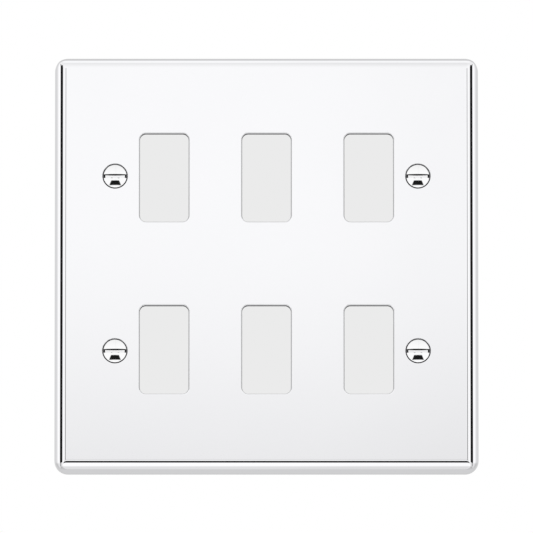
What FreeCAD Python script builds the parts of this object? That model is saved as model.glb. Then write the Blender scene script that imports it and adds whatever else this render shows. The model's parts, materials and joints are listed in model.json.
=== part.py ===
import FreeCAD, Part
import os

import Sketcher

# Grid switch front plate: one pressed and chromed sheet with six windows, and four captive slotted screws.
# It stands as on a wall: +Z is up, the face looks along -Y, the skirt's rim meets the wall at y = 0, and the
# origin is the middle of the screw pattern on that wall. All lengths are in millimetres.

# Driving dimensions: name in the sheet, value, what it measures
DIMENSIONS = [
    ("plate_width", 146.0, "overall width of the plate"),
    ("plate_height", 146.0, "overall height of the plate"),
    ("sheet_thickness", 1.5, "thickness of the pressed sheet"),
    ("edge_radius", 4.2, "outside radius of the bend from face to skirt"),
    ("skirt_height", 1.8, "straight part of the skirt, from the bend to the wall"),
    ("face_corner_radius", 0.5, "corner radius of the flat of the face"),
    ("window_width", 16.8, "width of one window"),
    ("window_height", 31.0, "height of one window"),
    ("window_corner_radius", 2.1, "radius of a window's corners"),
    ("window_columns", 3, "windows in a row"),
    ("window_rows", 2, "rows of windows"),
    ("window_pitch_across", 35.25, "middle to middle of two windows in a row"),
    ("window_pitch_up", 60.5, "middle to middle of the two rows"),
    ("pierced_edge_radius", 0.4, "soft edge that piercing and polishing leave on the face"),
    ("screw_pitch_across", 104.4, "screw centres, left to right"),
    ("screw_pitch_up", 61.5, "screw centres, bottom to top"),
    ("head_radius", 3.97, "radius of the screw's head"),
    ("head_rim", 0.1, "straight rim between the head's crown and its cone"),
    ("head_crown", 0.7, "how far the domed crown stands above the rim"),
    ("slot_width", 1.3, "width of the driver slot"),
    ("slot_depth", 1.4, "depth of the driver slot from the top of the crown"),
    ("thread_radius", 1.75, "outside radius of the screw's thread"),
    ("thread_depth", 0.37, "from the thread's crest to its root, and to the waist above it"),
    ("screw_length", 18.0, "from the head's rim to the tip"),
    ("tip_chamfer", 0.5, "chamfer at the tip"),
    ("seat_clearance", 0.28, "sideways room between the head's cone and its seat"),
    ("hole_clearance", 0.25, "room around the thread in the plate's hole"),
    ("dimple_land", 0.5, "straight hole below the countersunk seat"),
    ("dimple_root_radius", 0.8, "blend from the back of the sheet to a dimple"),
    ("washer_bore_clearance", 0.15, "room between the washer and the screw's waist"),
    ("washer_wall", 1.7, "ring width of the retaining washer"),
    ("washer_thickness", 1.0, "thickness of the retaining washer"),
    ("washer_play", 0.25, "room between the dimple and the washer, and between the washer and the thread"),
]

# Sizes that follow from the driving ones, written once
PLATE_DEPTH = "(dims.edge_radius + dims.skirt_height)"
CORNER_RADIUS = "(dims.edge_radius + dims.face_corner_radius)"
SEAT_RADIUS = "(dims.head_radius + dims.head_rim + dims.seat_clearance)"
HOLE_RADIUS = "(dims.thread_radius + dims.hole_clearance)"
# The seat's sides slope at 45 degrees, so it is as deep as it is wide
SEAT_ANGLE = 90
DIMPLE_DEPTH = f"({SEAT_RADIUS} - {HOLE_RADIUS} + dims.dimple_land)"
# The back of a dimple runs parallel to the seat, one sheet thickness away
BACK_SHIFT = "(dims.sheet_thickness * sqrt(2))"
DIMPLE_BASE_RADIUS = f"({SEAT_RADIUS} + {BACK_SHIFT} - dims.sheet_thickness)"
DIMPLE_END_RADIUS = f"({SEAT_RADIUS} + {BACK_SHIFT} - {DIMPLE_DEPTH})"
INSIDE_DEPTH = f"({PLATE_DEPTH} - dims.sheet_thickness)"
# The screw is narrowed to a waist between its head and its thread, and the washer lies on that waist
WAIST_RADIUS = "(dims.thread_radius - dims.thread_depth)"
WASHER_BORE = f"({WAIST_RADIUS} + dims.washer_bore_clearance)"
WASHER_FRONT = f"({DIMPLE_DEPTH} + dims.washer_play)"
THREAD_START = f"({WASHER_FRONT} + dims.washer_thickness + dims.washer_play)"
# The slot is sawn right across the head, so the cut runs well past both sides of it
SLOT_REACH = "(4 * dims.head_radius)"

# The four screw places, seen from the front: name, side across, side up
SCREW_PLACES = [
    ("upper_left", -1, 1),
    ("upper_right", 1, 1),
    ("lower_left", -1, -1),
    ("lower_right", 1, -1),
]

CUTS = ("PartDesign::Pocket", "PartDesign::Hole", "PartDesign::LinearPattern", "PartDesign::SubtractiveBox")
SAME = 1e-5

document = FreeCAD.newDocument("grid_switch_plate")
sheet = document.addObject("Spreadsheet::Sheet", "dims")
for row, (alias, size, meaning) in enumerate(DIMENSIONS, start=1):
    sheet.set(f"A{row}", alias)
    sheet.set(f"B{row}", str(size))
    sheet.set(f"C{row}", meaning)
    sheet.setAlias(f"B{row}", alias)
document.recompute()


def value(expression):
    """The number that an expression on the sheet gives now."""
    return float(sheet.evalExpression(expression))


def origin_item(body, role):
    """One of the body's own origin planes or axes."""
    return next(item for item in body.Origin.OriginFeatures if item.Role == role)


def new_sketch(body, name, role, lift=None):
    """A sketch on an origin plane of the body, lifted off it along its normal by an expression."""
    sketch = body.newObject("Sketcher::SketchObject", name)
    sketch.AttachmentSupport = [(origin_item(body, role), "")]
    sketch.MapMode = "FlatFace"
    if lift:
        sketch.setExpression("AttachmentOffset.Base.z", lift)
    return sketch


def bind(sketch, kind, *where, size):
    """A sketch dimension that follows an expression on the sheet."""
    index = sketch.addConstraint(Sketcher.Constraint(kind, *where, value(size)))
    sketch.setExpression(f"Constraints[{index}]", size)


def bind_coordinate(sketch, kind, geometry, point, size, side):
    """Hold one coordinate of a point at an expression's distance from the origin, on the given side."""
    here, origin = (geometry, point), (-1, 1)
    first, second = (origin, here) if side > 0 else (here, origin)
    bind(sketch, kind, *first, *second, size=size)


def rounded_rectangle(sketch, width, height, radius, across=None, up=None):
    """A rounded rectangle about the sketch's origin, or moved to its left and below it by across and up."""
    middle = FreeCAD.Vector(-value(across) if across else 0, -value(up) if up else 0, 0)
    half_width, half_height, corner = value(width) / 2, value(height) / 2, value(radius)
    quarter = FreeCAD.Rotation(FreeCAD.Vector(0, 0, 1), 90)
    sides, corners = [], []
    for turn in range(4):
        along, out = (half_width, half_height) if turn % 2 == 0 else (half_height, half_width)
        rotation = FreeCAD.Rotation(FreeCAD.Vector(0, 0, 1), 90 * turn)
        start = middle + rotation.multVec(FreeCAD.Vector(corner - along, -out, 0))
        end = middle + rotation.multVec(FreeCAD.Vector(along - corner, -out, 0))
        centre = end + rotation.multVec(FreeCAD.Vector(0, corner, 0))
        spoke = end - centre
        halfway = FreeCAD.Rotation(FreeCAD.Vector(0, 0, 1), 45).multVec(spoke)
        sides.append(sketch.addGeometry(Part.LineSegment(start, end)))
        arc = Part.Arc(end, centre + halfway, centre + quarter.multVec(spoke))
        corners.append(sketch.addGeometry(arc))
    for turn in range(4):
        sketch.addConstraint(Sketcher.Constraint("Tangent", sides[turn], 2, corners[turn], 1))
        sketch.addConstraint(Sketcher.Constraint("Tangent", corners[turn], 2, sides[(turn + 1) % 4], 1))
    sketch.addConstraint([Sketcher.Constraint("Horizontal", side) for side in (sides[0], sides[2])])
    sketch.addConstraint([Sketcher.Constraint("Vertical", side) for side in (sides[1], sides[3])])
    sketch.addConstraint([Sketcher.Constraint("Equal", corners[0], other) for other in corners[1:]])
    bind(sketch, "Radius", corners[0], size=radius)
    bind(sketch, "DistanceX", sides[3], 1, sides[1], 1, size=width)
    bind(sketch, "DistanceY", sides[0], 1, sides[2], 1, size=height)
    if across and up:
        centre_point = sketch.addGeometry(Part.Point(middle), True)
        bind_coordinate(sketch, "DistanceX", centre_point, 1, across, -1)
        bind_coordinate(sketch, "DistanceY", centre_point, 1, up, -1)
        about = (centre_point, 1)
    else:
        about = (-1, 1)
    sketch.addConstraint(Sketcher.Constraint("Symmetric", corners[0], 3, corners[2], 3, *about))


def circle(sketch, radius, across=None, up=None):
    """A circle at the sketch's origin, or moved to its left and below it by across and up."""
    middle = FreeCAD.Vector(-value(across) if across else 0, -value(up) if up else 0, 0)
    ring = sketch.addGeometry(Part.Circle(middle, FreeCAD.Vector(0, 0, 1), value(radius)))
    bind(sketch, "Radius", ring, size=radius)
    if across and up:
        bind_coordinate(sketch, "DistanceX", ring, 3, across, -1)
        bind_coordinate(sketch, "DistanceY", ring, 3, up, -1)
    else:
        sketch.addConstraint(Sketcher.Constraint("Coincident", ring, 3, -1, 1))


def feature(body, kind, name, **settings):
    """A feature of the body: expressions are bound, anything else is set as it is."""
    item = body.newObject(f"PartDesign::{kind}", name)
    for setting, given in settings.items():
        if isinstance(given, str) and "dims." in given:
            item.setExpression(setting, given)
        else:
            setattr(item, setting, given)
    document.recompute()
    return item


def fillet(body, name, base, radius, wanted):
    """Round the edges of the base feature that the test picks out."""
    edges = [f"Edge{i}" for i, edge in enumerate(base.Shape.Edges, start=1) if wanted(edge)]
    return feature(body, "Fillet", name, Base=(base, edges), Radius=radius)


def in_plane(edge, depth):
    """Whether an edge lies wholly in the plane that far in front of the wall."""
    box = edge.BoundBox
    return abs(box.YMin + depth) < SAME and abs(box.YMax + depth) < SAME


def inside_flat(edge):
    """Whether an edge lies within the flat of the face, clear of the bend around it."""
    half_width = value("dims.plate_width / 2 - dims.edge_radius")
    half_height = value("dims.plate_height / 2 - dims.edge_radius")
    box = edge.BoundBox
    across = max(-box.XMin, box.XMax)
    up = max(-box.ZMin, box.ZMax)
    return across < half_width - SAME and up < half_height - SAME


def grid_pattern(body, name, original, columns, rows, pitch_across, pitch_up):
    """Repeat a feature from the lower left to the right and upwards."""
    pattern = feature(
        body,
        "LinearPattern",
        name,
        Originals=[original],
        Direction=(original.Profile[0], ["H_Axis"]),
        Occurrences=columns,
        Length=f"({columns} - 1) * {pitch_across}",
        Direction2=(original.Profile[0], ["V_Axis"]),
        Occurrences2=rows,
        Length2=f"({rows} - 1) * {pitch_up}",
    )
    body.Tip = pattern
    document.recompute()
    return pattern


def make_front_plate():
    """The pressed sheet: a shallow tray with a rounded edge, dimples with countersunk seats, and windows."""
    body = document.addObject("PartDesign::Body", "front_plate")
    outline = new_sketch(body, "outline", "XZ_Plane")
    rounded_rectangle(outline, "dims.plate_width", "dims.plate_height", CORNER_RADIUS)
    feature(body, "Pad", "blank", Profile=outline, Length=PLATE_DEPTH)
    inside = new_sketch(body, "inside", "XZ_Plane")
    rounded_rectangle(
        inside,
        "dims.plate_width - 2 * dims.sheet_thickness",
        "dims.plate_height - 2 * dims.sheet_thickness",
        f"{CORNER_RADIUS} - dims.sheet_thickness",
    )
    hollow = feature(body, "Pocket", "hollow", Profile=inside, Length=INSIDE_DEPTH, Reversed=True)
    floor_depth = value(INSIDE_DEPTH)
    inner_bend = fillet(
        body,
        "inner_bend",
        hollow,
        "dims.edge_radius - dims.sheet_thickness",
        lambda edge: in_plane(edge, floor_depth),
    )
    face_depth = value(PLATE_DEPTH)
    fillet(body, "bend", inner_bend, "dims.edge_radius", lambda edge: in_plane(edge, face_depth))

    for place, side_across, side_up in SCREW_PLACES:
        offset = {
            "AttachmentOffset.Base.x": f"{side_across} * dims.screw_pitch_across / 2",
            "AttachmentOffset.Base.y": f"{side_up} * dims.screw_pitch_up / 2",
            "AttachmentOffset.Base.z": f"{PLATE_DEPTH} - {DIMPLE_DEPTH}",
        }
        dimple = feature(
            body,
            "AdditiveCone",
            f"dimple_{place}",
            AttachmentSupport=[(origin_item(body, "XZ_Plane"), "")],
            MapMode="FlatFace",
            Radius1=DIMPLE_END_RADIUS,
            Radius2=DIMPLE_BASE_RADIUS,
            Height=f"{DIMPLE_DEPTH} - dims.sheet_thickness",
            **offset,
        )
    base_radius = value(DIMPLE_BASE_RADIUS)
    fillet(
        body,
        "dimple_root",
        dimple,
        "dims.dimple_root_radius",
        lambda edge: isinstance(edge.Curve, Part.Circle)
        and in_plane(edge, floor_depth)
        and abs(edge.Curve.Radius - base_radius) < SAME,
    )

    centres = new_sketch(body, "screw_centres", "XZ_Plane", lift=PLATE_DEPTH)
    circle(centres, HOLE_RADIUS, "dims.screw_pitch_across / 2", "dims.screw_pitch_up / 2")
    document.recompute()
    seat = feature(body, "Hole", "seat", Profile=centres, DepthType="ThroughAll")
    seat.setExpression("Diameter", f"2 * {HOLE_RADIUS}")
    seat.HoleCutType = "Countersink"
    seat.HoleCutCustomValues = True
    seat.HoleCutCountersinkAngle = SEAT_ANGLE
    seat.setExpression("HoleCutDiameter", f"2 * {SEAT_RADIUS}")
    document.recompute()
    grid_pattern(body, "seats", seat, 2, 2, "dims.screw_pitch_across", "dims.screw_pitch_up")

    window_outline = new_sketch(body, "window_outline", "XZ_Plane", lift=PLATE_DEPTH)
    rounded_rectangle(
        window_outline,
        "dims.window_width",
        "dims.window_height",
        "dims.window_corner_radius",
        "(dims.window_columns - 1) * dims.window_pitch_across / 2",
        "(dims.window_rows - 1) * dims.window_pitch_up / 2",
    )
    window = feature(body, "Pocket", "window", Profile=window_outline, Type="ThroughAll")
    windows = grid_pattern(
        body,
        "windows",
        window,
        "dims.window_columns",
        "dims.window_rows",
        "dims.window_pitch_across",
        "dims.window_pitch_up",
    )
    fillet(
        body,
        "pierced_edges",
        windows,
        "dims.pierced_edge_radius",
        lambda edge: in_plane(edge, face_depth) and inside_flat(edge),
    )
    return body


def place_on_screw(body, side_across, side_up, behind_face):
    """Put a body made about the Y axis on a screw's centre line, an expression's distance behind the face."""
    body.setExpression("Placement.Base.x", f"{side_across} * dims.screw_pitch_across / 2")
    body.setExpression("Placement.Base.y", f"{behind_face} - {PLATE_DEPTH}")
    body.setExpression("Placement.Base.z", f"{side_up} * dims.screw_pitch_up / 2")


def screw_profile(sketch):
    """Half the screw's section: crown, rim, cone, waist, thread and tip, about the sketch's upright axis."""
    cone_end = f"(dims.head_rim + dims.head_radius - {WAIST_RADIUS})"
    crown_radius = "((dims.head_radius ^ 2 + dims.head_crown ^ 2) / (2 * dims.head_crown))"
    corners = [
        ("0", "-dims.head_crown"),
        ("dims.head_radius", "0"),
        ("dims.head_radius", "dims.head_rim"),
        (WAIST_RADIUS, cone_end),
        (WAIST_RADIUS, THREAD_START),
        ("dims.thread_radius", f"{THREAD_START} + dims.thread_depth"),
        ("dims.thread_radius", "dims.screw_length - dims.tip_chamfer"),
        ("dims.thread_radius - dims.tip_chamfer", "dims.screw_length"),
        ("0", "dims.screw_length"),
    ]
    points = [FreeCAD.Vector(value(out), value(along), 0) for out, along in corners]
    crown_centre = FreeCAD.Vector(0, value(f"{crown_radius} - dims.head_crown"), 0)
    rise = FreeCAD.Vector(0, -value(crown_radius), 0)
    rim_angle = (points[1] - crown_centre).getAngle(rise)
    half_turn = FreeCAD.Rotation(FreeCAD.Vector(0, 0, 1), Radian=rim_angle / 2)
    lines = [sketch.addGeometry(Part.Arc(points[0], crown_centre + half_turn.multVec(rise), points[1]))]
    for start, end in zip(points[1:], points[2:] + points[:1]):
        lines.append(sketch.addGeometry(Part.LineSegment(start, end)))
    for line, following in zip(lines, lines[1:] + lines[:1]):
        sketch.addConstraint(Sketcher.Constraint("Coincident", line, 2, following, 1))
    sketch.addConstraint(Sketcher.Constraint("PointOnObject", lines[0], 3, -2))
    for line, (out, along) in zip(lines, corners):
        if out == "0":
            sketch.addConstraint(Sketcher.Constraint("PointOnObject", line, 1, -2))
        else:
            bind_coordinate(sketch, "DistanceX", line, 1, out, 1)
        if along == "0":
            sketch.addConstraint(Sketcher.Constraint("PointOnObject", line, 1, -1))
        elif along.startswith("-"):
            bind_coordinate(sketch, "DistanceY", line, 1, along[1:], -1)
        else:
            bind_coordinate(sketch, "DistanceY", line, 1, along, 1)


def make_fixing_screw(place, side_across, side_up):
    """A raised countersunk machine screw with a level driver slot; its rim is level with the plate's face."""
    body = document.addObject("PartDesign::Body", f"fixing_screw_{place}")
    section = new_sketch(body, f"screw_section_{place}", "XY_Plane")
    screw_profile(section)
    feature(body, "Revolution", f"turned_{place}", Profile=section, ReferenceAxis=(section, ["V_Axis"]))
    offset = {
        "AttachmentOffset.Base.x": f"-{SLOT_REACH} / 2",
        "AttachmentOffset.Base.y": "-dims.slot_width / 2",
        "AttachmentOffset.Base.z": "dims.head_crown - dims.slot_depth",
    }
    feature(
        body,
        "SubtractiveBox",
        f"slot_{place}",
        AttachmentSupport=[(origin_item(body, "XZ_Plane"), "")],
        MapMode="FlatFace",
        Length=SLOT_REACH,
        Width="dims.slot_width",
        Height="dims.slot_depth",
        **offset,
    )
    place_on_screw(body, side_across, side_up, "0")
    return body


def make_retaining_washer(place, side_across, side_up):
    """A plastic ring on the screw's waist behind the plate, which keeps the screw with the plate."""
    body = document.addObject("PartDesign::Body", f"retaining_washer_{place}")
    ring = new_sketch(body, f"ring_{place}", "XZ_Plane")
    circle(ring, f"{WASHER_BORE} + dims.washer_wall")
    circle(ring, WASHER_BORE)
    feature(body, "Pad", f"washer_{place}", Profile=ring, Length="dims.washer_thickness", Reversed=True)
    place_on_screw(body, side_across, side_up, WASHER_FRONT)
    return body


subparts = [make_front_plate()]
for screw_place in SCREW_PLACES:
    subparts.append(make_fixing_screw(*screw_place))
    subparts.append(make_retaining_washer(*screw_place))
document.recompute()

for item in document.Objects:
    if {"Invalid", "Error"} & set(item.State):
        raise RuntimeError(f"{item.Label} did not recompute")
    if item.TypeId in CUTS and item.Shape.Volume >= item.BaseFeature.Shape.Volume:
        raise RuntimeError(f"{item.Label} cuts nothing away")
for subpart in subparts:
    if subpart.Shape.isNull() or not subpart.Shape.isValid() or len(subpart.Shape.Solids) != 1:
        raise RuntimeError(f"{subpart.Label} is not one valid solid")

os.makedirs("parts", exist_ok=True)
for subpart in subparts:
    subpart.Shape.exportStep(f"parts/{subpart.Label}.step")
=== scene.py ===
import json
import math

import bmesh
import bpy
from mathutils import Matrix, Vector


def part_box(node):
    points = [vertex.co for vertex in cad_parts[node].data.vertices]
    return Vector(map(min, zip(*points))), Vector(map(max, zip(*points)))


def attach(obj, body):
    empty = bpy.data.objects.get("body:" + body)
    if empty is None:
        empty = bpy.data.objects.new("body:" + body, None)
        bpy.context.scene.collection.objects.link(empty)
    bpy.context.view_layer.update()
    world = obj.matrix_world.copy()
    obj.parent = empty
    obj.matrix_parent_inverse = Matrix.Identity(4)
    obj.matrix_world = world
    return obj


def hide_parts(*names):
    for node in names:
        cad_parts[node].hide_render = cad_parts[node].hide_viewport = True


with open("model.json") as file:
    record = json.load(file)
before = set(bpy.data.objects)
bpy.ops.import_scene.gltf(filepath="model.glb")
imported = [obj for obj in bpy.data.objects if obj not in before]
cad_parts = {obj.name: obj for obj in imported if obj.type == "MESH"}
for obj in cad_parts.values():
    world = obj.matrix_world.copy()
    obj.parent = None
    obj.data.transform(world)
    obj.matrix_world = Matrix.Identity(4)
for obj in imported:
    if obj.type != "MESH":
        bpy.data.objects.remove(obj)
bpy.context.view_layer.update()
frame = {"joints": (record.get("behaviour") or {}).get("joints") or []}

# Sizes of the pressed plate, in metres. The outside comes from the frame.
MM = 0.001
plate_low, plate_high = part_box("front_plate")
PLATE_WIDTH = plate_high.x - plate_low.x
PLATE_HEIGHT = plate_high.z - plate_low.z
PLATE_DEPTH = plate_high.y - plate_low.y
PLATE_FACE = plate_low.y
SHEET_THICKNESS = 1.5 * MM
EDGE_RADIUS = 4.2 * MM
FACE_CORNER_RADIUS = 0.5 * MM
RIM_ROUND = 0.15 * MM
PIERCED_RADIUS = 0.4 * MM
WINDOW_WIDTH = 16.8 * MM
WINDOW_HEIGHT = 31.0 * MM
WINDOW_CORNER_RADIUS = 2.1 * MM
WINDOW_COLUMNS = 3
WINDOW_ROWS = 2
WINDOW_PITCH_ACROSS = 35.25 * MM
WINDOW_PITCH_UP = 60.5 * MM
SEAT_RADIUS = 4.35 * MM
HOLE_RADIUS = 2.0 * MM
DIMPLE_LAND = 0.5 * MM
DIMPLE_ROOT_RADIUS = 0.8 * MM

# Shares that shape the plate: how far the bend's corners are drawn out at the face, how that eases
# towards the skirt, and how much of a dimple's round lip is polished; the rest of the lip takes the
# pierced finish, dark partly as painted shade round the screw head.
CORNER_PULL = 0.28
CORNER_EASE = 1.6
LIP_POLISHED = 0.4

# Sizes of a captive screw and its washer. The screws' places come from the joints.
HEAD_RADIUS = 3.97 * MM
HEAD_RIM = 0.1 * MM
HEAD_CROWN = 0.7 * MM
SLOT_WIDTH = 1.3 * MM
SLOT_DEPTH = 1.4 * MM
SLOT_OVERRUN = 3
WAIST_RADIUS = 1.38 * MM
THREAD_RADIUS = 1.75 * MM
THREAD_PITCH = 0.6 * MM
THREAD_START = 4.35 * MM
THREAD_STEEPNESS = 0.75
THREAD_RUN_IN_TURNS = 1.5
SCREW_LENGTH = 18.0 * MM
TIP_CHAMFER = 0.5 * MM
WASHER_BORE_CLEARANCE = 0.15 * MM
WASHER_ROUND = 0.18 * MM
SCREW_COLUMNS = 2
SCREW_ROWS = 2
CORNERS = ("upper_left", "upper_right", "lower_left", "lower_right")
screw_places = {joint["child"]: Vector(joint["pos_m"]) for joint in frame["joints"]}

# Fineness of the meshes.
BEND_STEPS = 36
CORNER_STEPS = 36
WINDOW_CORNER_STEPS = 10
PIERCED_STEPS = 6
ROUND_STEPS = 64
DOME_STEPS = 22
THREAD_ROWS = 10
GUARD = 0.05 * MM
WELD = 0.001 * MM
SHARP_ANGLE = math.radians(30)
QUARTER = math.radians(90)
EIGHTH = math.radians(45)

# Finishes that a face of the plate can have; the pierced one is darkened partly as painted shade.
SHOWN, BACK, PIERCED = 0, 1, 2


class Wire:
    """One output in a node tree. Sums with it add Math nodes to that tree."""

    def __init__(self, bench, socket):
        self.bench = bench
        self.socket = socket

    def math(self, operation, *others):
        return self.bench.math(operation, self, *others)

    def __add__(self, other):
        return self.bench.math("ADD", self, other)

    def __radd__(self, other):
        return self.bench.math("ADD", other, self)

    def __sub__(self, other):
        return self.bench.math("SUBTRACT", self, other)

    def __rsub__(self, other):
        return self.bench.math("SUBTRACT", other, self)

    def __mul__(self, other):
        return self.bench.math("MULTIPLY", self, other)

    def __rmul__(self, other):
        return self.bench.math("MULTIPLY", other, self)

    def __truediv__(self, other):
        return self.bench.math("DIVIDE", self, other)

    def __rtruediv__(self, other):
        return self.bench.math("DIVIDE", other, self)

    def __neg__(self):
        return self.bench.math("MULTIPLY", self, -1.0)

    def __abs__(self):
        return self.bench.math("ABSOLUTE", self)


class Bench:
    """A node tree, and the one way that nodes are added to it."""

    def __init__(self, tree):
        self.tree = tree

    def add(self, kind, settings=None, sockets=None, output=0):
        """A node of this kind: its settings first, then what its sockets get; gives one of its outputs."""
        node = self.tree.nodes.new(kind)
        for name, setting in (settings or {}).items():
            setattr(node, name, setting)
        for key, value in (sockets or {}).items():
            for one in value if isinstance(value, list) else [value]:
                self.feed(self.find(node.inputs, key), one)
        return Wire(self, self.find(node.outputs, output)) if node.outputs else node

    def find(self, sockets, key):
        if isinstance(key, int):
            return sockets[key]
        return next(socket for socket in sockets if socket.name == key and socket.enabled)

    def feed(self, socket, value):
        if isinstance(value, Wire):
            self.tree.links.new(value.socket, socket)
        else:
            socket.default_value = value

    def math(self, operation, *values):
        return self.add("ShaderNodeMath", {"operation": operation}, dict(enumerate(values)))

    def step(self, value, low, high):
        """0 up to low, 1 from high, and smooth between."""
        return self.add("ShaderNodeMapRange", {"interpolation_type": "SMOOTHSTEP"},
                        {"Value": value, "From Min": low, "From Max": high})

    def band(self, value, low, high, soft):
        """1 between low and high, 0 outside, with soft edges."""
        return self.step(value, low - soft, low + soft) * (1 - self.step(value, high - soft, high + soft))

    def slide(self, value, low, high, first, last):
        """first up to low, last from high, and straight between."""
        return self.add("ShaderNodeMapRange", {}, {"Value": value, "From Min": low, "From Max": high,
                                                   "To Min": first, "To Max": last})

    def level(self, value, low, high):
        """A mask from 0 to 1 turned into numbers from low to high."""
        return value * (high - low) + low

    def axes(self, place):
        """The X, Y and Z of a place or a direction."""
        return [self.add("ShaderNodeSeparateXYZ", {}, {0: place}, axis) for axis in "XYZ"]

    def place(self, x=0.0, y=0.0, z=0.0):
        return self.add("ShaderNodeCombineXYZ", {}, {"X": x, "Y": y, "Z": z})


# Geometry trees: a section is drawn as (out from its path, up from the wall) and swept along the path.

def geometry_bench(name, sizes):
    """A geometry tree with one named input for each size; gives its bench and those inputs."""
    tree = bpy.data.node_groups.new(name, "GeometryNodeTree")
    for label, size in sizes.items():
        kind = "NodeSocketInt" if isinstance(size, int) else "NodeSocketFloat"
        tree.interface.new_socket(label, in_out="INPUT", socket_type=kind)
    tree.interface.new_socket("Geometry", in_out="OUTPUT", socket_type="NodeSocketGeometry")
    bench = Bench(tree)
    return bench, {label: bench.add("NodeGroupInput", output=label) for label in sizes}


def grow(name, bench, sizes):
    """The plain mesh that a geometry tree gives at these sizes, as an object at the origin."""
    thing = bpy.data.objects.new(name, bpy.data.meshes.new(name))
    bpy.context.scene.collection.objects.link(thing)
    modifier = thing.modifiers.new("tree", "NODES")
    modifier.node_group = bench.tree
    for item in bench.tree.interface.items_tree:
        if item.in_out == "INPUT":
            modifier[item.identifier] = sizes[item.name]
    evaluated = thing.evaluated_get(bpy.context.evaluated_depsgraph_get())
    mesh = bpy.data.meshes.new_from_object(evaluated)
    thing.modifiers.remove(modifier)
    thing.data = mesh
    mesh.name = name
    while None in list(mesh.materials):
        mesh.materials.pop(index=list(mesh.materials).index(None))
    return thing


def turn_outwards(thing):
    """Turns every face of a closed mesh outwards."""
    work = bmesh.new()
    work.from_mesh(thing.data)
    bmesh.ops.recalc_face_normals(work, faces=work.faces)
    work.to_mesh(thing.data)
    work.free()


def point(bench, out, up):
    return bench.place(out, 0 - up)


def straight(bench, start, end):
    ends = {"Start": point(bench, *start), "End": point(bench, *end)}
    return bench.add("GeometryNodeCurvePrimitiveLine", {"mode": "POINTS"}, ends)


def move(bench, thing, by, turn=(0.0, 0.0, 0.0)):
    return bench.add("GeometryNodeTransform", {}, {"Geometry": thing, "Translation": by, "Rotation": turn})


def arc(bench, centre, radius, start, sweep, steps):
    """A round stretch of a section; angles go up from the outward direction."""
    sizes = {"Resolution": steps + 1, "Radius": radius, "Start Angle": 0 - start, "Sweep Angle": 0 - sweep}
    curve = bench.add("GeometryNodeCurveArc", {"mode": "RADIUS"}, sizes)
    return move(bench, curve, point(bench, *centre))


def rounded_path(bench, width, height, radius, steps):
    sides = bench.add("GeometryNodeCurvePrimitiveQuadrilateral", {}, {"Width": width, "Height": height})
    return bench.add("GeometryNodeFilletCurve", {"mode": "POLY"},
                     {"Curve": sides, "Count": steps, "Radius": radius})


def round_path(bench, radius):
    return bench.add("GeometryNodeCurvePrimitiveCircle", {"mode": "RADIUS"},
                     {"Resolution": ROUND_STEPS, "Radius": radius})


def join(bench, *pieces):
    return bench.add("GeometryNodeJoinGeometry", {}, {"Geometry": list(pieces)})


def smooth(bench, mesh):
    return bench.add("GeometryNodeSetShadeSmooth", {}, {"Geometry": mesh, "Shade Smooth": True})


def sweep(bench, path, *section):
    return smooth(bench, bench.add("GeometryNodeCurveToMesh", {},
                                   {"Curve": path, "Profile Curve": join(bench, *section)}))


def finish_as(bench, mesh, finish):
    """Notes on each face of a mesh which of the plate's finishes it has."""
    return bench.add("GeometryNodeStoreNamedAttribute", {"data_type": "INT", "domain": "FACE"},
                     {"Geometry": mesh, "Name": "finish", "Value": finish})


def made_of(bench, mesh, material, where=True):
    return bench.add("GeometryNodeSetMaterial", {},
                     {"Geometry": mesh, "Selection": where, "Material": material})


def realize(bench, thing):
    return bench.add("GeometryNodeRealizeInstances", {}, {"Geometry": thing})


def weld(bench, mesh):
    return bench.add("GeometryNodeMergeByDistance", {}, {"Geometry": mesh, "Distance": WELD})


def crease(bench, mesh):
    """Keeps the edges of a smooth mesh sharp where its faces meet at an angle."""
    sharp = bench.add("GeometryNodeInputMeshEdgeAngle").math("GREATER_THAN", SHARP_ANGLE)
    return bench.add("GeometryNodeSetShadeSmooth", {"domain": "EDGE"},
                     {"Geometry": mesh, "Selection": sharp, "Shade Smooth": False})


def flat_between(bench, mesh, level):
    """The flat sheet between the open edges that a mesh has at one height."""
    height = bench.axes(bench.add("GeometryNodeInputPosition"))[2]
    at_level = height.math("COMPARE", level, GUARD)
    open_edge = bench.add("GeometryNodeInputMeshEdgeNeighbors").math("COMPARE", 1.0, 0.5)
    loops = bench.add("GeometryNodeMeshToCurve", {}, {"Mesh": mesh, "Selection": at_level * open_edge})
    sheet = bench.add("GeometryNodeFillCurve", {"mode": "TRIANGLES"}, {"Curve": loops})
    sheet = move(bench, sheet, bench.place(z=level))
    return bench.add("GeometryNodeSetShadeSmooth", {}, {"Geometry": sheet, "Shade Smooth": False})


def on_grid(bench, piece, columns, rows, pitch_across, pitch_up):
    """Copies of a piece at the points of a grid."""
    points = bench.add("GeometryNodeMeshGrid", {},
                       {"Size X": (columns - 1) * pitch_across, "Size Y": (rows - 1) * pitch_up,
                        "Vertices X": columns, "Vertices Y": rows})
    copies = bench.add("GeometryNodeInstanceOnPoints", {}, {"Points": points, "Instance": piece})
    return realize(bench, copies)


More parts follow.
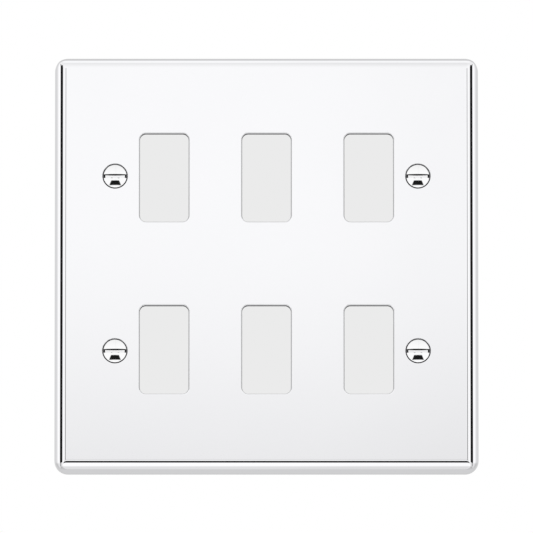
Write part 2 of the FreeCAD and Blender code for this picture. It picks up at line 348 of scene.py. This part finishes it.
PLATE_SIZES = {
    "Width": PLATE_WIDTH,
    "Height": PLATE_HEIGHT,
    "Depth": PLATE_DEPTH,
    "Sheet Thickness": SHEET_THICKNESS,
    "Edge Radius": EDGE_RADIUS,
    "Face Corner Radius": FACE_CORNER_RADIUS,
    "Corner Pull": CORNER_PULL,
    "Corner Ease": CORNER_EASE,
    "Rim Round": RIM_ROUND,
    "Pierced Radius": PIERCED_RADIUS,
    "Window Width": WINDOW_WIDTH,
    "Window Height": WINDOW_HEIGHT,
    "Window Corner Radius": WINDOW_CORNER_RADIUS,
    "Window Columns": WINDOW_COLUMNS,
    "Window Rows": WINDOW_ROWS,
    "Window Pitch Across": WINDOW_PITCH_ACROSS,
    "Window Pitch Up": WINDOW_PITCH_UP,
    "Screw Columns": SCREW_COLUMNS,
    "Screw Rows": SCREW_ROWS,
    "Screw Pitch Across": screw_places["screw_upper_right"].x - screw_places["screw_upper_left"].x,
    "Screw Pitch Up": screw_places["screw_upper_left"].z - screw_places["screw_lower_left"].z,
    "Seat Radius": SEAT_RADIUS,
    "Hole Radius": HOLE_RADIUS,
    "Dimple Land": DIMPLE_LAND,
    "Dimple Root Radius": DIMPLE_ROOT_RADIUS,
}


def tight_corners(bench, mesh, size, base, bend):
    """Draws the corners of a bend out as it nears the face, where the press leaves them tight.

    Each level of the bend turns its corner along a superellipse: of power 2, a plain round, at the
    skirt, and of a higher power towards the face.
    """
    corner = size["Edge Radius"] + size["Face Corner Radius"]
    ease = size["Corner Ease"]
    x, y, height = bench.axes(bench.add("GeometryNodeInputPosition"))
    past_x = (abs(x) - (size["Width"] / 2 - corner)).math("MAXIMUM", 0.0)
    past_y = (abs(y) - (size["Height"] / 2 - corner)).math("MAXIMUM", 0.0)
    reach = (past_x * past_x + past_y * past_y).math("SQRT")
    rise = bench.slide(height, base, base + bend, 0.0, 1.0)
    pull = size["Corner Pull"] * rise * rise * (ease + (1 - ease) * rise * rise)
    power = 1 / (0.5 - (1 + pull).math("LOGARITHM", 2.0))
    drawn = (past_x / reach).math("POWER", power) + (past_y / reach).math("POWER", power)
    drawn = drawn.math("MAXIMUM", WELD).math("POWER", -1 / power) - 1
    offset = bench.place(x.math("SIGN") * past_x * drawn, y.math("SIGN") * past_y * drawn)
    return bench.add("GeometryNodeSetPosition", {}, {"Geometry": mesh, "Offset": offset})


def rim_sections(bench, path, size):
    """The rolled edge of the plate: bend and skirt outside, the rim, and the same inside."""
    depth, sheet = size["Depth"], size["Sheet Thickness"]
    bend, rim = size["Edge Radius"], size["Rim Round"]
    base = depth - bend
    foot = sheet - rim
    outside = sweep(bench, path,
                    straight(bench, (0.0, rim), (0.0, base)),
                    arc(bench, (-bend, base), bend, 0.0, QUARTER, BEND_STEPS),
                    straight(bench, (-bend, depth), (-bend - GUARD, depth)))
    inside = sweep(bench, path,
                   arc(bench, (-rim, rim), rim, 0.0, -QUARTER, PIERCED_STEPS),
                   straight(bench, (-rim, 0.0), (-foot, 0.0)),
                   arc(bench, (-foot, rim), rim, -QUARTER, -QUARTER, PIERCED_STEPS),
                   straight(bench, (-sheet, rim), (-sheet, base)),
                   arc(bench, (-bend, base), bend - sheet, 0.0, QUARTER, BEND_STEPS),
                   straight(bench, (-bend, depth - sheet), (-bend - GUARD, depth - sheet)))
    outside = tight_corners(bench, outside, size, base, bend)
    inside = tight_corners(bench, inside, size, base, bend - sheet)
    return join(bench, finish_as(bench, outside, SHOWN), finish_as(bench, inside, BACK))


def window_sections(bench, path, size):
    """A pierced window: the edge that the punch draws in, and the sheared wall behind it."""
    depth, sheet, edge = size["Depth"], size["Sheet Thickness"], size["Pierced Radius"]
    centre = edge, depth - edge
    drawn_in = sweep(bench, path,
                     straight(bench, (edge + GUARD, depth), (edge, depth)),
                     arc(bench, centre, edge, QUARTER, EIGHTH, PIERCED_STEPS))
    sheared = sweep(bench, path,
                    arc(bench, centre, edge, QUARTER + EIGHTH, EIGHTH, PIERCED_STEPS),
                    straight(bench, (0.0, depth - edge), (0.0, depth - sheet)))
    behind = sweep(bench, path, straight(bench, (0.0, depth - sheet), (GUARD, depth - sheet)))
    return join(bench, finish_as(bench, drawn_in, SHOWN), finish_as(bench, sheared, PIERCED),
                finish_as(bench, behind, BACK))


def dimple_sections(bench, size):
    """A countersunk dimple: lip, seat and hole in front, and the pressed cone that stands out behind."""
    depth, sheet, edge = size["Depth"], size["Sheet Thickness"], size["Pierced Radius"]
    seat, hole, root = size["Seat Radius"], size["Hole Radius"], size["Dimple Root Radius"]
    slope = math.tan(EIGHTH / 2)
    lip = seat + edge * slope
    polished = EIGHTH * LIP_POLISHED
    cone_top = depth - edge * (1 - math.cos(EIGHTH))
    cone_end = depth - (seat - hole)
    land_end = cone_end - size["Dimple Land"]
    back = depth - sheet
    back_corner = seat - sheet + sheet * math.sqrt(2)
    back_end = back_corner - (back - land_end)
    root_out = back_corner + root * slope
    root_drop = root * (1 - math.cos(EIGHTH))
    path = round_path(bench, hole)

    def at(radius, up):
        return radius - hole, up

    lip_centre = at(lip, depth - edge)
    front = sweep(bench, path,
                  straight(bench, at(lip + GUARD, depth), at(lip, depth)),
                  arc(bench, lip_centre, edge, QUARTER, polished, PIERCED_STEPS))
    # The rest of the lip, the seat cone and the hole take the pierced finish, dark partly as painted shade in
    # the crevice round the screw head.
    inner = sweep(bench, path,
                  arc(bench, lip_centre, edge, QUARTER + polished, EIGHTH - polished, PIERCED_STEPS),
                  straight(bench, at(seat - (depth - cone_top), cone_top), at(hole, cone_end)),
                  straight(bench, at(hole, cone_end), at(hole, land_end)))
    behind = sweep(bench, path,
                   straight(bench, at(hole, land_end), at(back_end, land_end)),
                   straight(bench, at(back_end, land_end), at(back_corner - root_drop, back - root_drop)),
                   arc(bench, at(root_out, back - root), root, QUARTER + EIGHTH, -EIGHTH, PIERCED_STEPS),
                   straight(bench, at(root_out, back), at(root_out + GUARD, back)))
    return join(bench, finish_as(bench, front, SHOWN), finish_as(bench, inner, PIERCED),
                finish_as(bench, behind, BACK))


def plate_bench(finishes):
    """The tree of the pressed plate, which lies face up while it is built and is then stood up."""
    bench, size = geometry_bench("pressed_plate", PLATE_SIZES)
    depth = size["Depth"]
    outline = rounded_path(bench, size["Width"], size["Height"],
                           size["Edge Radius"] + size["Face Corner Radius"], CORNER_STEPS)
    rim = rim_sections(bench, outline, size)
    window_path = rounded_path(bench, size["Window Width"], size["Window Height"],
                               size["Window Corner Radius"], WINDOW_CORNER_STEPS)
    windows = on_grid(bench, window_sections(bench, window_path, size),
                      size["Window Columns"], size["Window Rows"],
                      size["Window Pitch Across"], size["Window Pitch Up"])
    dimples = on_grid(bench, dimple_sections(bench, size),
                      size["Screw Columns"], size["Screw Rows"],
                      size["Screw Pitch Across"], size["Screw Pitch Up"])
    edges = weld(bench, join(bench, rim, windows, dimples))
    face = finish_as(bench, flat_between(bench, edges, depth), SHOWN)
    back = finish_as(bench, flat_between(bench, edges, depth - size["Sheet Thickness"]), BACK)
    skin = crease(bench, weld(bench, join(bench, edges, face, back)))
    plate = realize(bench, move(bench, skin, (0.0, 0.0, 0.0), (QUARTER, 0.0, 0.0)))
    given = bench.add("GeometryNodeInputNamedAttribute", {"data_type": "INT"}, {"Name": "finish"})
    for finish, material in finishes.items():
        plate = made_of(bench, plate, material, given.math("COMPARE", float(finish), 0.5))
    bench.add("NodeGroupOutput", {}, {"Geometry": plate})
    return bench


SCREW_SIZES = {
    "Across": 0.0,
    "Up": 0.0,
    "Face": PLATE_FACE,
    "Head Radius": HEAD_RADIUS,
    "Head Rim": HEAD_RIM,
    "Head Crown": HEAD_CROWN,
    "Slot Width": SLOT_WIDTH,
    "Slot Depth": SLOT_DEPTH,
    "Waist Radius": WAIST_RADIUS,
    "Thread Radius": THREAD_RADIUS,
    "Thread Pitch": THREAD_PITCH,
    "Thread Start": THREAD_START,
    "Length": SCREW_LENGTH,
    "Tip Chamfer": TIP_CHAMFER,
}


def thread_skin(bench, size):
    """A right-hand thread as one skin, whose rows of points follow the helix."""
    start, end, pitch = size["Thread Start"], size["Length"], size["Thread Pitch"]
    root, crest = size["Waist Radius"], size["Thread Radius"]
    turns = ((end - start) / pitch).math("CEIL") + 1
    grid = bench.add("GeometryNodeMeshGrid", {},
                     {"Size X": 1.0, "Size Y": turns, "Vertices X": ROUND_STEPS + 1,
                      "Vertices Y": turns * THREAD_ROWS + 1})
    across, along, _ = bench.axes(bench.add("GeometryNodeInputPosition"))
    around = across + 0.5
    along = along + turns / 2
    up = start + pitch * (along + around - 1)
    up = up.math("MAXIMUM", start).math("MINIMUM", end)
    wave = (along * math.tau).math("COSINE") * THREAD_STEEPNESS + 0.5
    wave = wave.math("MAXIMUM", 0.0).math("MINIMUM", 1.0)
    run_in = bench.step(up, start, start + pitch * THREAD_RUN_IN_TURNS)
    radius = root + (crest - root) * wave * run_in
    chamfer = crest - (up - end + size["Tip Chamfer"]).math("MAXIMUM", 0.0)
    radius = radius.math("MINIMUM", chamfer)
    angle = around * math.tau
    place = bench.place(radius * angle.math("COSINE"), radius * angle.math("SINE"), up)
    return smooth(bench, bench.add("GeometryNodeSetPosition", {}, {"Geometry": grid, "Position": place}))


def screw_bench(turned, slotted):
    """The tree of a captive screw, which points up while it is built: head down, tip up."""
    bench, size = geometry_bench("captive_screw", SCREW_SIZES)
    head, rim, crown = size["Head Radius"], size["Head Rim"], size["Head Crown"]
    waist, begin, end = size["Waist Radius"], size["Thread Start"], size["Length"]
    dome = (head * head + crown * crown) / (crown * 2)
    spread = (head / dome).math("ARCSINE")
    cone_end = rim + head - waist
    tip = size["Thread Radius"] - size["Tip Chamfer"]
    path = round_path(bench, head)

    def at(radius, up):
        return radius - head, up

    blank = sweep(bench, path,
                  arc(bench, at(0.0, dome - crown), dome, -QUARTER, spread, DOME_STEPS),
                  straight(bench, at(head, 0.0), at(head, rim)),
                  straight(bench, at(head, rim), at(waist, cone_end)),
                  straight(bench, at(waist, cone_end), at(waist, begin)),
                  straight(bench, at(waist, begin), at(0.0, begin)))
    blank = bench.add("GeometryNodeFlipFaces", {}, {"Mesh": weld(bench, blank)})
    blank = made_of(bench, blank, turned)
    # The block that cuts the slot runs past the head at both ends, and half of it stands clear of the crown.
    block = bench.place(head * SLOT_OVERRUN, size["Slot Width"], size["Slot Depth"] * 2)
    slot = bench.add("GeometryNodeMeshCube", {}, {"Size": block}, "Mesh")
    slot = made_of(bench, move(bench, slot, bench.place(z=-crown)), slotted)
    slotted_head = bench.add("GeometryNodeMeshBoolean", {"operation": "DIFFERENCE", "solver": "EXACT"},
                             {"Mesh 1": blank, "Mesh 2": slot})
    height = bench.axes(bench.add("GeometryNodeInputPosition"))[2]
    where_thread_begins = height.math("COMPARE", begin, WELD)
    slotted_head = bench.add("GeometryNodeDeleteGeometry", {"domain": "FACE"},
                             {"Geometry": slotted_head, "Selection": where_thread_begins})
    tip_face = sweep(bench, path, straight(bench, at(tip, end), at(0.0, end)))
    shank = made_of(bench, join(bench, thread_skin(bench, size), tip_face), turned)
    whole = crease(bench, weld(bench, join(bench, slotted_head, shank)))
    own_place = bench.add("GeometryNodeInputPosition")
    whole = bench.add("GeometryNodeStoreNamedAttribute", {"data_type": "FLOAT_VECTOR", "domain": "POINT"},
                      {"Geometry": whole, "Name": "own_place", "Value": own_place})
    seat = bench.place(size["Across"], size["Face"], size["Up"])
    screw = realize(bench, move(bench, whole, seat, (-QUARTER, 0.0, 0.0)))
    bench.add("NodeGroupOutput", {}, {"Geometry": screw})
    return bench


WASHER_SIZES = {
    "Across": 0.0,
    "Up": 0.0,
    "Front": 0.0,
    "Bore": WAIST_RADIUS + WASHER_BORE_CLEARANCE,
    "Wall": 0.0,
    "Thickness": 0.0,
    "Round": WASHER_ROUND,
}


def washer_bench(nylon):
    """The tree of a moulded washer: a rounded section swept round its bore."""
    bench, size = geometry_bench("retaining_washer", WASHER_SIZES)
    section = rounded_path(bench, size["Wall"], size["Thickness"], size["Round"], PIERCED_STEPS)
    section = move(bench, section, point(bench, size["Wall"] / 2, size["Thickness"] / 2))
    ring = crease(bench, weld(bench, sweep(bench, round_path(bench, size["Bore"]), section)))
    seat = bench.place(size["Across"], size["Front"], size["Up"])
    washer = realize(bench, move(bench, ring, seat, (-QUARTER, 0.0, 0.0)))
    bench.add("NodeGroupOutput", {}, {"Geometry": made_of(bench, washer, nylon)})
    return bench


# Finishes.

# Depths in the sheared edge: the smooth shear band, and where the colour behind it, darkened partly as
# painted shade, is at its darkest.
SHEAR_BAND = 0.28 * SHEET_THICKNESS
TEAR_DEPTH = 0.4 * SHEET_THICKNESS
LATHE_PITCH = 0.09 * MM
DULL_AND_SHADED_DEPTH = 0.5 * MM


def finish_bench(name):
    """A new material with a Principled shader; gives its bench, material and shader."""
    material = bpy.data.materials.new(name)
    material.use_nodes = True
    tree = material.node_tree
    shader = next(node for node in tree.nodes if node.type == "BSDF_PRINCIPLED")
    return Bench(tree), material, shader


def noise(bench, place, scale, detail=2.0, stretch=(1.0, 1.0, 1.0)):
    """Cloudy noise from 0 to 1, with so many lumps to the metre, drawn out where stretch is small."""
    drawn = bench.add("ShaderNodeMapping", {}, {"Vector": place, "Scale": stretch})
    return bench.add("ShaderNodeTexNoise", {}, {"Vector": drawn, "Scale": scale, "Detail": detail}, "Fac")


def between(bench, mask, low, high):
    """A colour from low to high as the mask goes from 0 to 1."""
    return bench.add("ShaderNodeMix", {"data_type": "RGBA"},
                     {"Factor": mask, "A": (*low, 1.0), "B": (*high, 1.0)}, "Result")


def bump(bench, height, distance, strength):
    return bench.add("ShaderNodeBump", {},
                     {"Height": height, "Distance": distance, "Strength": strength}, "Normal")


def dress(bench, shader, color, roughness, metallic, normal=None):
    bench.feed(bench.find(shader.inputs, "Base Color"), color)
    bench.feed(bench.find(shader.inputs, "Roughness"), roughness)
    bench.feed(bench.find(shader.inputs, "Metallic"), metallic)
    if normal:
        bench.feed(bench.find(shader.inputs, "Normal"), normal)


def polished_chrome():
    """Mirror chrome on the shown side: a faint haze left by buffing, and slight clouds in the plating."""
    bench, material, shader = finish_bench("polished_chrome")
    place = bench.add("ShaderNodeTexCoord", output="Object")
    clouds = noise(bench, place, scale=45.0, detail=3.0)
    buffing = noise(bench, place, scale=900.0, stretch=(0.15, 1.0, 1.0))
    color = between(bench, clouds, low=(0.885, 0.886, 0.904), high=(0.905, 0.905, 0.919))
    roughness = bench.level(clouds * 0.6 + buffing * 0.4, low=0.01, high=0.04)
    dress(bench, shader, color, roughness, metallic=1.0)
    return material


def plated_back():
    """The back of the sheet: plated but not buffed, with the marks of the rolling mill along it."""
    bench, material, shader = finish_bench("plated_back")
    place = bench.add("ShaderNodeTexCoord", output="Object")
    rolled = noise(bench, place, scale=2200.0, detail=3.0, stretch=(0.02, 1.0, 1.0))
    clouds = noise(bench, place, scale=70.0, detail=4.0)
    color = between(bench, clouds, low=(0.56, 0.56, 0.565), high=(0.68, 0.68, 0.68))
    roughness = bench.level(clouds * 0.5 + rolled * 0.5, low=0.22, high=0.42)
    normal = bump(bench, rolled, distance=0.02 * MM, strength=0.35)
    dress(bench, shader, color, roughness, metallic=1.0, normal=normal)
    return material


def sheared_edge_and_painted_shade():
    """Pierced walls and screw seats: a narrow smoother grey band in front, rougher fractured grains behind
    it, darkened towards black deeper in partly as painted shade for the crevices.
    """
    bench, material, shader = finish_bench("sheared_edge_and_painted_shade")
    place = bench.add("ShaderNodeTexCoord", output="Object")
    deep = bench.axes(place)[1]
    # This mask marks the rough zone behind the shear band, and its dark end colour is partly painted shade
    # for the crevices.
    torn_and_shaded = bench.step(deep, PLATE_FACE + SHEAR_BAND, PLATE_FACE + TEAR_DEPTH)
    grains = noise(bench, place, scale=6000.0, stretch=(1.0, 0.2, 1.0))
    color = between(bench, torn_and_shaded * 0.7 + grains * 0.3, low=(0.22, 0.22, 0.23), high=(0.03, 0.03, 0.032))
    roughness = bench.level(torn_and_shaded * 0.6 + grains * 0.4, low=0.35, high=0.6)
    normal = bump(bench, grains, distance=0.02 * MM, strength=0.5)
    dress(bench, shader, color, roughness, metallic=1.0, normal=normal)
    return material


def turned_chrome():
    """A turned screw: polished dome with faint lathe rings, duller and darker cone and thread, their darker
    colour partly painted shade for the crevice under the head.
    """
    bench, material, shader = finish_bench("turned_chrome")
    own = bench.add("ShaderNodeAttribute", {"attribute_name": "own_place"}, output="Vector")
    across, aside, up = bench.axes(own)
    out = (across * across + aside * aside).math("SQRT")
    rings = (out * (math.tau / LATHE_PITCH)).math("SINE")
    # Below the rim the colour darkens as painted shade for the crevice under the head, and the roughness
    # rises for the duller turning.
    behind = bench.step(up, HEAD_RIM, DULL_AND_SHADED_DEPTH)
    specks = noise(bench, own, scale=1500.0, detail=3.0)
    color = between(bench, behind, low=(0.925, 0.925, 0.93), high=(0.45, 0.445, 0.44))
    roughness = 0.03 + behind * 0.22 + specks * 0.04
    normal = bump(bench, rings, distance=0.001 * MM, strength=0.08)
    dress(bench, shader, color, roughness, metallic=1.0, normal=normal)
    return material


def sawn_slot():
    """The slot: plated as bright as the head, with faint lines of the saw along it."""
    bench, material, shader = finish_bench("sawn_slot")
    place = bench.add("ShaderNodeTexCoord", output="Object")
    lines = noise(bench, place, scale=9000.0, stretch=(0.05, 1.0, 1.0))
    color = between(bench, lines, low=(0.84, 0.84, 0.85), high=(0.92, 0.92, 0.925))
    roughness = bench.level(lines, low=0.04, high=0.1)
    normal = bump(bench, lines, distance=0.001 * MM, strength=0.1)
    dress(bench, shader, color, roughness, metallic=1.0, normal=normal)
    return material


def moulded_nylon():
    """Natural white nylon, semi-matt, with a little mottling."""
    bench, material, shader = finish_bench("moulded_nylon")
    place = bench.add("ShaderNodeTexCoord", output="Object")
    mottling = noise(bench, place, scale=900.0, detail=3.0)
    color = between(bench, mottling, low=(0.84, 0.83, 0.78), high=(0.90, 0.89, 0.85))
    roughness = bench.level(mottling, low=0.38, high=0.52)
    normal = bump(bench, noise(bench, place, scale=8000.0), distance=0.01 * MM, strength=0.2)
    dress(bench, shader, color, roughness, metallic=0.0, normal=normal)
    return material


# Pieces.

plate = grow("chromed_plate", plate_bench({SHOWN: polished_chrome(), BACK: plated_back(),
                                           PIERCED: sheared_edge_and_painted_shade()}), PLATE_SIZES)
turn_outwards(plate)
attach(plate, "plate")
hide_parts("front_plate")

screw_tree = screw_bench(turned_chrome(), sawn_slot())
washer_tree = washer_bench(moulded_nylon())
for corner in CORNERS:
    body = f"screw_{corner}"
    place = screw_places[body]
    screw = grow(f"slotted_screw_{corner}", screw_tree, {**SCREW_SIZES, "Across": place.x, "Up": place.z})
    turn_outwards(screw)
    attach(screw, body)
    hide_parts(f"fixing_screw_{corner}")
    low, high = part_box(f"retaining_washer_{corner}")
    washer = grow(f"nylon_washer_{corner}", washer_tree,
                  {**WASHER_SIZES, "Across": place.x, "Up": place.z, "Front": low.y,
                   "Wall": (high.x - low.x) / 2 - WASHER_SIZES["Bore"], "Thickness": high.y - low.y})
    turn_outwards(washer)
    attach(washer, body)
    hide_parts(f"retaining_washer_{corner}")

# Studio: white cards all round, with the gaps between them that polished chrome shows as dark lines.

CAMERA_DROP = math.radians(11.8)
BACKDROP_WHITE = 1.0
# The wall's white is lowered behind the plate as a painted shade, which the windows show as light grey.
WALL_IN_SHADE = 0.83
SHADE_EDGE = (0.82 * PLATE_WIDTH / 2, 0.95 * PLATE_WIDTH / 2)
FLOOR_WHITE = 0.86
GAP_DARKNESS = 0.99


class Way:
    """The direction in which the studio is looked at, as angles in degrees.

    right is round from straight ahead of the face, and side is the same to either hand. up is from the
    horizon, back is towards the wall, and off is from where the flat of the face mirrors the camera.
    """

    def __init__(self, bench):
        x, y, z = bench.axes(bench.add("ShaderNodeTexCoord", output="Generated"))
        degrees = math.degrees(1.0)
        mirrored = z * math.sin(CAMERA_DROP) - y * math.cos(CAMERA_DROP)
        self.right = x.math("ARCTAN2", 0 - y) * degrees
        self.side = abs(self.right)
        self.up = z.math("ARCSINE") * degrees
        self.back = y.math("ARCSINE") * degrees
        self.off = mirrored.math("ARCCOSINE") * degrees


def white_cards(bench, way):
    """How bright the cards are: most at the zenith, less high up, behind, underneath and low at the sides."""
    overhead = bench.step(way.up, 16.0, 65.0)
    zenith = bench.step(way.up, 70.0, 80.0)
    flanks = bench.step(way.side, 55.0, 70.0)
    low = 1 - bench.step(way.up, -30.0, -20.0)
    behind = bench.step(way.back, -12.0, 27.0)
    underneath = (1 - bench.step(way.up, -64.0, -46.0)) * (1 - bench.step(way.back, 0.0, 25.0))
    low_sides = bench.step(way.off, 38.0, 46.0) * bench.step(way.side, 12.0, 30.0)
    low_sides = low_sides * (1 - bench.step(way.up, 0.0, 8.0))
    low_sides = low_sides * (1 - 0.5 * bench.step(way.side, 110.0, 140.0))
    low_corners = bench.band(way.side, 36.0, 80.0, 5.0) * bench.band(way.up, -70.0, -26.0, 4.0)
    light = 1.06 - 0.14 * overhead + 0.20 * zenith + 0.05 * flanks + 0.06 * low
    light = light * (1 - 0.33 * behind) * (1 - 0.26 * underneath) * (1 - 0.24 * low_sides)
    return light - 0.14 * low_corners


def card_hem(bench, way):
    """The shade at the hem of the card ahead, which the face shows deepening downwards and to the right."""
    below = (1 - bench.step(way.up, 10.7, 11.95)) * bench.step(way.up, 3.0, 7.0)
    below = below * (1 - bench.step(way.side, 8.0, 18.0))
    right = bench.step(way.right, 0.1, 0.5) * (1 - bench.step(way.right, 3.0, 6.0))
    return 0.28 * below + 0.035 * right


def card_seams(bench, way):
    """The seams beside the card ahead, which the bend shows as a grey line along each side of the face."""
    seam = bench.band(way.side, 8.8, 14.0, 0.6) * bench.band(way.up, 4.0, 13.5, 0.5)
    return seam * (0.95 - 0.25 * bench.step(way.up, 11.2, 12.0))


def dark_gaps(bench, way):
    """The dark beyond the cards: a gap at each side, a slit below it, and the camera's opening."""
    outer = bench.slide(way.up, 14.0, 40.0, 64.0, 73.0)
    notch = 22 + 0.8 * abs(way.side - 52)
    gap = bench.step(way.off, 37.8, 39.4) * (1 - bench.step(way.off - outer, -1.0, 1.0))
    gap = gap * bench.step(way.up, 0.0, 6.0) * (1 - bench.step(way.up, 37.0, 41.0))
    gap = gap * (1 - bench.step(way.up - notch, -2.0, 2.0))
    gap = gap * (1 - 0.1 * bench.step(way.up, 14.0, 20.0))
    slit = 0.95 * bench.band(way.side, 48.5, 57.0, 0.7) * bench.band(way.up, -46.0, 3.0, 3.0)
    jamb = bench.slide(way.up, -20.0, -4.0, 21.5, 13.4)
    opening = (1 - bench.step(way.side - jamb, -1.2, 1.2)) * bench.band(way.up, -19.8, -3.6, 1.0)
    return gap.math("MAXIMUM", opening).math("MAXIMUM", slit)


def studio_world():
    """The world: the cards and gaps for what is reflected or lit, and plain white for the camera."""
    world = bpy.data.worlds.new("white_studio")
    world.use_nodes = True
    world.node_tree.nodes.clear()
    bench = Bench(world.node_tree)
    way = Way(bench)
    light = (white_cards(bench, way) - card_hem(bench, way)) * (1 - card_seams(bench, way))
    light = light * (1 - GAP_DARKNESS * dark_gaps(bench, way))
    seen = bench.add("ShaderNodeLightPath", output="Is Camera Ray")
    strength = seen * BACKDROP_WHITE + (1 - seen) * light
    glow = bench.add("ShaderNodeBackground", {}, {"Color": (1.0, 1.0, 1.0, 1.0), "Strength": strength})
    bench.add("ShaderNodeOutputWorld", {}, {"Surface": glow})
    bpy.context.scene.world = world


def stage_sheet(name, corners, material):
    """A flat sheet of the stage, facing the side from which its corners run anticlockwise."""
    mesh = bpy.data.meshes.new(name)
    mesh.from_pydata(corners, [], [range(len(corners))])
    mesh.materials.append(material)
    sheet = bpy.data.objects.new(name, mesh)
    bpy.context.scene.collection.objects.link(sheet)
    sheet.visible_glossy = False
    sheet.visible_shadow = False
    return sheet


def one_sided(name, front):
    """A stage finish that is seen from the front of its sheet only."""
    material = bpy.data.materials.new(name)
    material.use_nodes = True
    material.node_tree.nodes.clear()
    bench = Bench(material.node_tree)
    clear = bench.add("ShaderNodeBsdfTransparent")
    behind = bench.add("ShaderNodeNewGeometry", output="Backfacing")
    mixed = bench.add("ShaderNodeMixShader", {}, {0: behind, 1: front(bench), 2: clear})
    bench.add("ShaderNodeOutputMaterial", {}, {"Surface": mixed})
    return material


def wall_white(bench):
    """White, with a painted soft shade where the plate would throw its shadow on the wall behind it."""
    x, _, z = bench.axes(bench.add("ShaderNodeTexCoord", output="Object"))
    shade = (1 - bench.step(abs(x), *SHADE_EDGE)) * (1 - bench.step(abs(z), *SHADE_EDGE))
    return bench.add("ShaderNodeEmission", {}, {"Strength": BACKDROP_WHITE - shade * (1 - WALL_IN_SHADE)})


def floor_white(bench):
    return bench.add("ShaderNodeBsdfDiffuse", {}, {"Color": (FLOOR_WHITE, FLOOR_WHITE, FLOOR_WHITE, 1.0)})


WALL_PLACE = 0.014
STAGE_REACH = 1.2
FLOOR_LEVEL = -0.25
wall = stage_sheet("white_wall",
                   [(-STAGE_REACH, WALL_PLACE, FLOOR_LEVEL), (STAGE_REACH, WALL_PLACE, FLOOR_LEVEL),
                    (STAGE_REACH, WALL_PLACE, STAGE_REACH), (-STAGE_REACH, WALL_PLACE, STAGE_REACH)],
                   one_sided("wall_white", wall_white))
wall.visible_diffuse = False
stage_sheet("pale_floor",
            [(-STAGE_REACH, -STAGE_REACH, FLOOR_LEVEL), (STAGE_REACH, -STAGE_REACH, FLOOR_LEVEL),
             (STAGE_REACH, STAGE_REACH, FLOOR_LEVEL), (-STAGE_REACH, STAGE_REACH, FLOOR_LEVEL)],
            one_sided("floor_white", floor_white))
studio_world()

# Camera: far off and a little below the plate, as in the photograph.

CAMERA_DISTANCE = 8.0
CAMERA_REACH = 100.0
SENSOR_WIDTH = 36.0
PHOTO_WIDTH_IN_PIXELS = 533
PIXEL = 0.3445 * MM
AIM_DROP = 1.06 * MM
AIM = Vector((0.0, PLATE_FACE, -AIM_DROP))
lens = bpy.data.cameras.new("camera")
lens.sensor_width = SENSOR_WIDTH
lens.lens = SENSOR_WIDTH * CAMERA_DISTANCE / (PHOTO_WIDTH_IN_PIXELS * PIXEL)
lens.clip_end = CAMERA_REACH
camera = bpy.data.objects.new("camera", lens)
bpy.context.scene.collection.objects.link(camera)
away = Vector((0.0, -math.cos(CAMERA_DROP), -math.sin(CAMERA_DROP)))
camera.location = AIM + away * CAMERA_DISTANCE
camera.rotation_euler = (-away).to_track_quat("-Z", "Y").to_euler()
bpy.context.scene.camera = camera
bpy.context.scene.view_settings.view_transform = "Standard"
